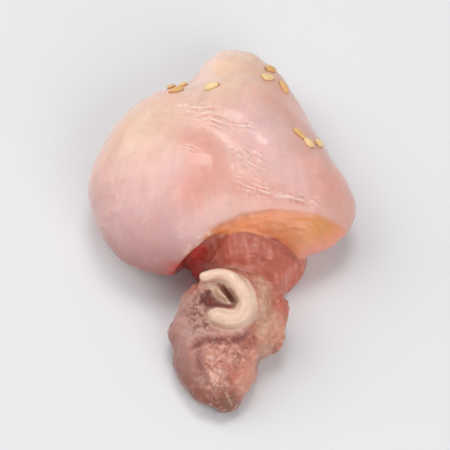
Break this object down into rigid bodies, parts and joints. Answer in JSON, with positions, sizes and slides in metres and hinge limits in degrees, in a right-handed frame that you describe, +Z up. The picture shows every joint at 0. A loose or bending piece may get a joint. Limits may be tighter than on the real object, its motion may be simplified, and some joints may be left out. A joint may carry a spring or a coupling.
{
  "type": "raw chicken thigh piece",
  "caption": "Boneless piece of raw salted chicken thigh, a smooth round muscle with a narrow cut end, a curled white tendon and a few sesame seeds.",
  "frame": {"origin": "middle of the piece seen from above, on the surface it lies on", "axes": "+Z up, +Y from the cut end towards the round muscle, +X to the right seen from the cut end"},
  "size_m": [0.052, 0.0762, 0.0231],
  "materials": {
    "flesh": "moist and glossy, pale pink muscle with cream fat and a darker red cut end"
  },
  "bodies": {
    "root": {"thigh_piece": "flesh"}
  },
  "joints": []
}
